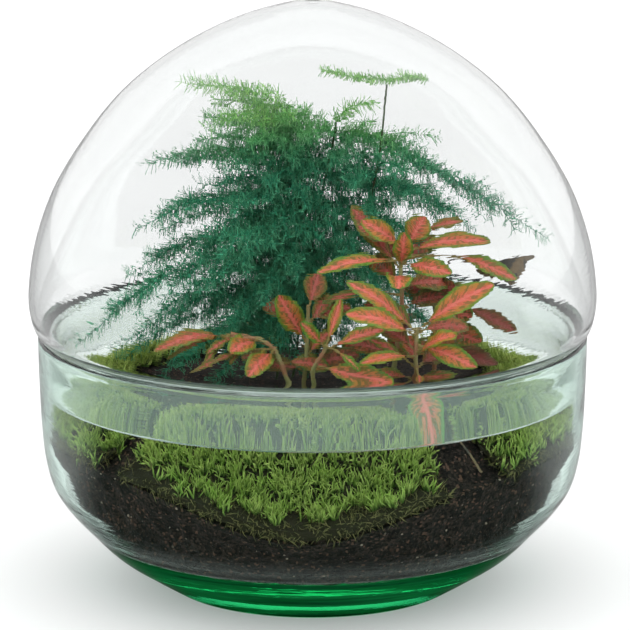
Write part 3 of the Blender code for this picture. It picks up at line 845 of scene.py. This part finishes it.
def add_stem(name, finish, fat=1.0, around=10):
    middles, _, halves = course(name, GROUND, STEM_CUTS)
    line = smooth(middles, RINGS)
    size = np.interp(np.linspace(0, 1, RINGS), np.linspace(0, 1, STEM_CUTS), halves[1:-1]) * fat
    nodes = 1 + 0.22 * np.exp(-((np.linspace(0, SWELLINGS, RINGS) % 1 - 0.5) / 0.12) ** 2)
    points, faces = tubes(line[None], (size * nodes)[None], around)
    add_piece(name, points, faces, finish, [name])


for name in sorted(name for name in stem_points if name.startswith("fern")):
    add_stem(name, bark)


# %% [markdown]
# ## The fittonia
# A fittonia leaf is a thin blade, folded a little along its midrib and puffed up between its side veins. A
# flat picture on a plane would look like paper in side light, so each blade is a closed skin with a top, an
# underside and a rolled edge. Its points carry their own place on the leaf, across and along, so that the
# colours and the relief can follow the same veins.


# %% One leaf
LEAF_VEINS, VEIN_SLANT = 7.0, 1.5
LEAF_CUTS = 7
LEAF_SHARES = np.append(np.insert((np.arange(LEAF_CUTS) + 0.5) / LEAF_CUTS, 0, 0), 1)


def add_leaf(name, middles, across, half_width, stalk, mood, seed, stands_for=()):
    """A leaf along a course. The mood says how dark, how green and how orange it is, from 0 to 1. How dark is
    partly the leaf's own tone and partly painted shade on leaves that lie in shade.
    """
    dice = np.random.default_rng(seed)
    stations, around = 42, 22
    share = smooth(np.stack([LEAF_SHARES] * 3, 1), stations)[:, 0]
    line, side = smooth(middles, stations), unit(smooth(across, stations))
    along = unit(np.gradient(line, axis=0))
    side = unit(side - along * (side * along).sum(1)[:, None])
    above = np.cross(side, along)
    if above[stations // 2] @ (0, -1, 1) < 0:
        side, above = -side, -above
    blade = np.clip((share - stalk) / (1 - stalk), 0, 1)
    width = half_width * np.sin(math.pi * blade ** 1.1) ** (0.85 - 0.35 * blade)
    stem = np.interp(share, [0, stalk, stalk + 0.12, 1], [0.62, 0.5, 0.2, 0.06]) * MM
    turn = np.arange(around) * math.tau / around
    u, face = np.cos(turn)[None], np.sign(np.sin(turn).round(6))[None]
    reach = np.maximum(width, stem)[:, None]
    phase = blade[:, None] * LEAF_VEINS - abs(u) * VEIN_SLANT
    open_part = np.clip(width / (0.5 * half_width), 0, 1)[:, None]
    puffed = np.cos(math.tau * phase) * np.sqrt(abs(u)) * (1 - u ** 2)
    waves = np.sin(math.tau * (2.6 * blade[:, None] + dice.random() + 0.25 * np.sign(u))) * abs(u) ** 3
    rise = reach * 0.24 * (abs(u) ** 1.3 - 0.4) - puffed * 0.26 * MM + waves * 0.5 * MM
    rib = np.exp(-(u * reach / (0.55 * MM)) ** 2) * np.where(face < 0, 0.3, -0.12)
    rib = rib * (1 - 0.8 * blade[:, None])
    sheet = (0.17 * MM + rib * MM) * (1 - u ** 8) * open_part
    thick = np.maximum(stem[:, None] * np.abs(np.sin(turn)), sheet)
    height = rise * open_part + thick * face
    rings = line[:, None] + side[:, None] * (u * reach)[..., None] + above[:, None] * height[..., None]
    marks = {key: np.zeros((stations, around, 3)) for key in ("blade", "mood", "back")}
    marks["blade"][..., 0], marks["blade"][..., 1], marks["blade"][..., 2] = u, blade[:, None], dice.random()
    marks["mood"][:] = mood
    marks["back"][..., 0], marks["back"][..., 1] = face < 0, 1 - open_part
    marks["back"][..., 2] = reach / (10 * MM)
    marks = {key: values.reshape(-1, 3) for key, values in marks.items()}
    points = inside_glass(rings.reshape(-1, 3), 1.0 * MM)
    add_piece(name, points, skin(stations, around), leaf_finish, stands_for, 80, **marks)


# %% [markdown]
# The colour runs from a pink midrib through coral to an orange or olive flank and a green margin, with dark
# green flecks between the veins. No two leaves agree, so each has a mood: how dark, green and orange it is.
# How dark is partly the leaf's own tone and partly painted shade, strongest on leaves at the back.

# %% The leaf finish
leaf_finish = Finish("fittonia leaf", "fittonia_leaf", Specular_IOR_Level=0.35)
leaf_across, leaf_along, leaf_chance = leaf_finish.mark("blade")
leaf_dark_and_shade, leaf_green, leaf_warm = leaf_finish.mark("mood")
leaf_under, leaf_stalk, leaf_half = leaf_finish.mark("back")
out = abs(leaf_across)
wander = leaf_finish.noise(0.005, 2.0) - 0.5
vein_phase = leaf_along * LEAF_VEINS - out * VEIN_SLANT + wander * 0.35
from_vein = abs((vein_phase + 0.5).math("FRACT", vein_phase + 0.5) - 0.5) * 2
vein = from_vein.step(0.2, 0.02) * out.step(1.0, 0.7)
along_veins = {0: leaf_across * 2.6, 1: vein_phase * 2.1, 2: leaf_chance * 40}
fleck_place = leaf_finish.node("ShaderNodeCombineXYZ", None, along_veins)[0]
flecks = leaf_finish.noise(0.85, 1.5, 0.5, fleck_place)
fleck = (flecks + leaf_green * 0.08).step(0.53, 0.59) * (leaf_green * 0.5 + 0.5) * out.step(0.05, 0.2)
edge = (1 - out) * leaf_half * 10 + wander * 2.4
margin = edge.step(2.2, 0.5) * leaf_along.step(0.02, 0.3) * (leaf_green * 0.4 + 0.7)
flank = (out + wander * 0.7).step(0.12, 0.85)
coral = flank.mix((0.7, 0.115, 0.09), (0.6, 0.14, 0.038))
ribbed = (out.step(0.22, 0.0) * 0.6).mix(coral, (0.84, 0.21, 0.19))
warmed = ((leaf_warm * 0.5 + 0.4) * (flank * 0.8 + 0.2)).mix(ribbed, (0.6, 0.23, 0.028))
olive = (flank * (leaf_green * 0.4 + 0.22)).mix(warmed, (0.22, 0.23, 0.03))
veined = (vein * 0.35).mix(olive, (0.8, 0.25, 0.18))
flecked = (fleck * 0.85).mix(veined, (0.04, 0.12, 0.018))
edged = margin.mix(flecked, (0.095, 0.25, 0.026))
# Painted shade: the dark mood darkens leaves that lie in shade, along with the darker tone some leaves have.
darkened_and_shaded = (leaf_dark_and_shade * 0.85).mix(edged, (0.105, 0.03, 0.028))
paled = (leaf_under * 0.45).mix(darkened_and_shaded, (0.42, 0.24, 0.14))
leaf_colour = leaf_stalk.step(0.55, 1.0).mix(paled, (0.3, 0.23, 0.075))
puffed = from_vein.step(0.0, 0.45) * 0.7 + leaf_finish.noise(0.0012, 1.0) * 0.3
leaf_finish.dress(leaf_colour, wander * 0.25 + 0.42, puffed, 0.00025)
print("nodes in the leaf finish:", len(leaf_finish.tree.nodes))

# %% Leaves of the imported model
# Mood of each leaf: dark, green and orange. The dark number is partly painted shade, highest on back leaves.
LEAF_MOODS = {
    "back": ((0.65, 0.35, 0.0), (0.45, 1.0, 0.0), (0.45, 0.85, 0.0), (0.85, 0.1, 0.0), (0.6, 0.2, 0.0)),
    "creeping": ((0.35, 0.2, 0.15), (0.15, 0.35, 0.45), (0.2, 0.35, 0.25)),
    "left": ((0.0, 0.1, 0.7), (0.0, 0.65, 0.9), (0.05, 0.4, 0.1), (0.1, 0.55, 0.2)),
    "middle": ((0.05, 0.5, 0.15), (0.5, 0.35, 0.1)),
    "right": ((0.0, 0.35, 0.25), (0.0, 0.2, 0.45), (0.05, 0.35, 0.35), (0.0, 0.1, 0.7), (0.0, 0.45, 0.3),
              (0.0, 0.2, 0.8), (0.0, 0.8, 0.0)),
    "top": ((0.45, 0.35, 0.1), (0.1, 0.2, 0.4), (0.05, 0.45, 0.6), (0.2, 0.3, 0.5), (0.05, 0.4, 0.1),
            (0.2, 0.35, 0.2), (0.15, 0.45, 0.3), (0.0, 0.45, 0.35), (0.05, 0.45, 0.6)),
}
LONG_STALKS = {"top_7": 0.42, "back_4": 0.4}
soft_stems = {name: points for name, points in stem_points.items() if name.startswith("fittonia")}
leaves = [(stem, f"{stem}_{k}", mood)
          for stem, moods in LEAF_MOODS.items() for k, mood in enumerate(moods, 1)]
for number, (stem, leaf, mood) in enumerate(leaves):
    name = f"fittonia_leaf_{leaf}"
    middles, across, halves = course(name, soft_stems[f"fittonia_stem_{stem}"], LEAF_CUTS)
    stalk = LONG_STALKS.get(leaf, 0.14)
    add_leaf(name, middles, across, halves.max() * 1.04, stalk, mood, 300 + number, [name])
print("leaf triangles:", sum(tally[name] for name in tally if "leaf" in name))

# %% [markdown]
# Young and half hidden leaves fill the clumps between the large ones. The imported model can hold 60 solids and
# is full, so they exist only here. Each grows from a height on its stem, towards an offset.

# %% Small leaves
# The last three numbers are the mood. Its dark number is partly painted shade for leaves lying in shade.
SMALL_LEAVES = {
    "top_10": (0.99, (30, 13, 9), 6.2, 0.42, (0.45, 0.15, 0.2)),
    "top_11": (0.66, (-40, -7, -2), 5.0, 0.42, (0.45, 0.3, 0.2)),
    "right_8": (0.55, (-24, 0, 16), 5.4, 0.25, (0.35, 0.3, 0.1)),
    "right_9": (0.36, (27, -6, 0), 6.2, 0.15, (0.35, 0.3, 0.1)),
    "left_5": (0.97, (17, -15, -9.5), 4.2, 0.4, (0.0, 0.4, 0.9)),
    "back_6": (0.45, (31, -14, -6), 10.4, 0.2, (0.95, 0.3, 0.0)),
    "middle_3": (0.75, (12, 7, 15), 8.3, 0.2, (0.5, 0.3, 0.0)),
    "middle_4": (0.5, (12.5, -1, 13), 7.3, 0.2, (0.4, 0.3, 0.0)),
    "creeping_4": (0.9, (-15, -14, -6), 4.7, 0.2, (0.4, 0.2, 0.1)),
    "creeping_5": (1.00, (-14, -18, -14), 3.8, 0.2, (0.4, 0.2, 0.1)),
    "creeping_6": (0.8, (-11, -16, -10), 4.2, 0.2, (0.4, 0.2, 0.1)),
    "creeping_7": (0.6, (-42, -20, -9), 3.6, 0.3, (0.5, 0.1, 0.0)),
    "creeping_8": (1.00, (-32, -6, -12), 3.0, 0.3, (0.5, 0.1, 0.0)),
}


def grow_leaf(name, stem, share, offset, width, stalk, mood, seed):
    """A leaf from a share of a stem's height, reaching over an offset in millimetres."""
    stem_line = smooth(course(f"fittonia_stem_{stem}", GROUND, STEM_CUTS)[0], 101)
    offset = np.array(offset) * MM
    bow = np.array([0, -0.4, 0.9]) * np.linalg.norm(offset) * 0.1
    places = LEAF_SHARES[:, None]
    middles = stem_line[round(share * 100)] + offset * places + bow * 4 * places * (1 - places)
    across = np.broadcast_to(unit(np.cross(offset, (0, -0.75, 0.65))), middles.shape)
    add_leaf(f"fittonia_leaf_{name}", middles, across, width / 2 * MM, stalk, mood, seed)


for number, (leaf, growth) in enumerate(SMALL_LEAVES.items()):
    grow_leaf(leaf, leaf.split("_")[0], *growth, 400 + number)

# %% Pairs of shaded leaves behind them
SHADED_PAIRS = {"top": (0.3, 0.45, 0.58, 0.7, 0.82, 0.92), "right": (0.35, 0.55, 0.75, 0.9),
                "middle": (0.35, 0.55, 0.8), "back": (0.35, 0.6, 0.85), "creeping": (0.45,)}
dice = np.random.default_rng(500)
for stem, shares in SHADED_PAIRS.items():
    for number, share in enumerate(shares):
        turn = number * 1.3 + dice.uniform(-0.3, 0.3)
        for side in (-1, 1):
            length = dice.uniform(21, 30)
            sideways, back = side * abs(math.cos(turn)) + 0.2, 0.5 * abs(math.sin(turn)) + 0.2
            way = unit(np.array([sideways, back, dice.uniform(-0.2, 0.4)]))
            # Painted shade: these leaves lie behind the others, so their colour is darkened by a high dark
            # mood.
            mood = (dice.uniform(0.35, 0.75), dice.uniform(0.3, 0.8), dice.uniform(0.0, 0.3))
            name = f"{stem}_shaded_{number}_{'left' if side < 0 else 'right'}"
            grow_leaf(name, stem, share, way * length, length * 0.42, 0.18, mood, 520 + number)
print("small leaves:", len(SMALL_LEAVES))

# %% [markdown]
# ## Soft stems and dry pieces
# Fittonia stems are pale and juicy, with swellings where leaves join them. A dry twig and a straw lie among
# the plants.

# %% Their finishes and forms
soft = Finish("fittonia stem", "fittonia_stem", Specular_IOR_Level=0.35)
down = soft.noise(0.0009, 3.0, 0.7)
blush = soft.noise(0.012, 2.0).step(0.4, 0.65)
soft_colour = blush.mix(down.mix((0.2, 0.22, 0.075), (0.38, 0.36, 0.16)), (0.36, 0.17, 0.09))
soft.dress(soft_colour, down * 0.3 + 0.45, down, 0.0003)

dry = Finish("dry stalk", "dry_stalk", Specular_IOR_Level=0.2)
weathered = dry.noise(0.0005, 4.0, 0.7, dry.stretched(0.3, 0.3, 0.3))
spotted = dry.noise(0.006, 2.0).step(0.45, 0.62)
bleached = weathered.mix((0.13, 0.085, 0.05), (0.3, 0.215, 0.13))
dry_colour = spotted.mix(bleached, (0.085, 0.075, 0.065))
dry.dress(dry_colour, weathered * 0.2 + 0.7, weathered, 0.0003)

for name in soft_stems:
    add_stem(name, soft, 1.15, 14)
add_stem("dry_twig", dry, 1.0, 8)
add_stem("dry_straw", dry, 1.2, 8)
for name in ("fern_stem_left", "fittonia_stem_top", "dry_twig"):
    print(name, "triangles:", tally[name])

# %% [markdown]
# ## Floor, light and camera
# Clear glass shows what is round it. In a dark room it is all black edges. Here a bright surround and a pale
# floor leave it light. There are no lamps: the surround is brighter above, and how strongly it and the floor
# shine depends on how a ray got there. So the front of the glass mirrors a dim room, light gathers under the
# bowl and the background stays white. This is a studio trick and not how light behaves.


# %% What a single reflection sees
def glint(nodes):
    """1 for a ray mirrored once by the nearest glass. Light caught in a thick edge is mirrored more often."""
    ray = nodes.node("ShaderNodeLightPath")
    mirrored, passed = ray["Glossy Depth"], ray["Transmission Depth"]
    return mirrored.math("COMPARE", mirrored, 1.0, 0.1) * passed.math("LESS_THAN", passed, 2.5)


# %% Floor
studio = Finish("studio floor", "", Specular_IOR_Level=0.0, Roughness=0.9)
away = studio.node("ShaderNodeVectorMath", {"operation": "LENGTH"}, {0: studio.place()})["Value"]
paper = studio.noise(0.4).mix((0.6, 0.6, 0.6), (0.62, 0.62, 0.62))
before = studio.axes(studio.place())["Y"].step(0.08, -0.06)
through = studio.node("ShaderNodeLightPath")["Is Transmission Ray"]
gathered = through * away.step(0.125, 0.085)
unlit = glint(studio) * before
glow = gathered.math("MAXIMUM", gathered, (1 - unlit) * 0.24)
studio.surface(Base_Color=unlit.mix(paper, (0.01, 0.01, 0.01)), Emission_Strength=1.0,
               Emission_Color=glow.mix((0.0, 0.0, 0.0), (1.0, 1.0, 1.0)))
floor_mesh = bpy.data.meshes.new("studio_floor")
corners = [(x, y, cad_low.z - 0.1 * MM) for x, y in ((-6, -6), (6, -6), (6, 6), (-6, 6))]
floor_mesh.from_pydata(corners, [], [(0, 1, 2, 3)])
floor_mesh.materials.append(studio.material)
place_in_scene("studio_floor", floor_mesh)

# %% Light from all round
world = bpy.data.worlds.new("bright surround")
world.use_nodes = True
bpy.context.scene.world = world
around = Nodes(world.node_tree)
heading = around.axes(around.node("ShaderNodeTexCoord")["Generated"])
height, behind = heading["Z"], heading["Y"]
lamps = height.step(-0.1, 0.9) * 1.6 + 0.4
mirrored = behind.step(-0.25, 0.55) * 0.98 + 0.02
ray = around.node("ShaderNodeLightPath")
straight = ray["Is Camera Ray"].math("MAXIMUM", ray["Is Camera Ray"], ray["Is Transmission Ray"])
once = glint(around)
seen = straight * (1 - once)
power = seen + (1 - seen) * (once * mirrored + (1 - once) * lamps)
around.feed(around.tree.nodes["Background"].inputs["Color"], (1.0, 1.0, 1.0))
around.feed(around.tree.nodes["Background"].inputs["Strength"], power)
bpy.context.scene.view_settings.view_transform = "Standard"

# %% Camera
lens = bpy.data.cameras.new("front_view")
lens.lens, lens.sensor_width = 262.39, 36.0
camera = place_in_scene("front_view", lens)
camera.location = (0.00124, -2.27199, 0.679355)
camera.rotation_euler = (math.pi / 2 - 0.234, 0, 0)
bpy.context.scene.camera = camera
print("every piece:", len(tally), "with", sum(tally.values()), "triangles, at most", max(tally.values()))
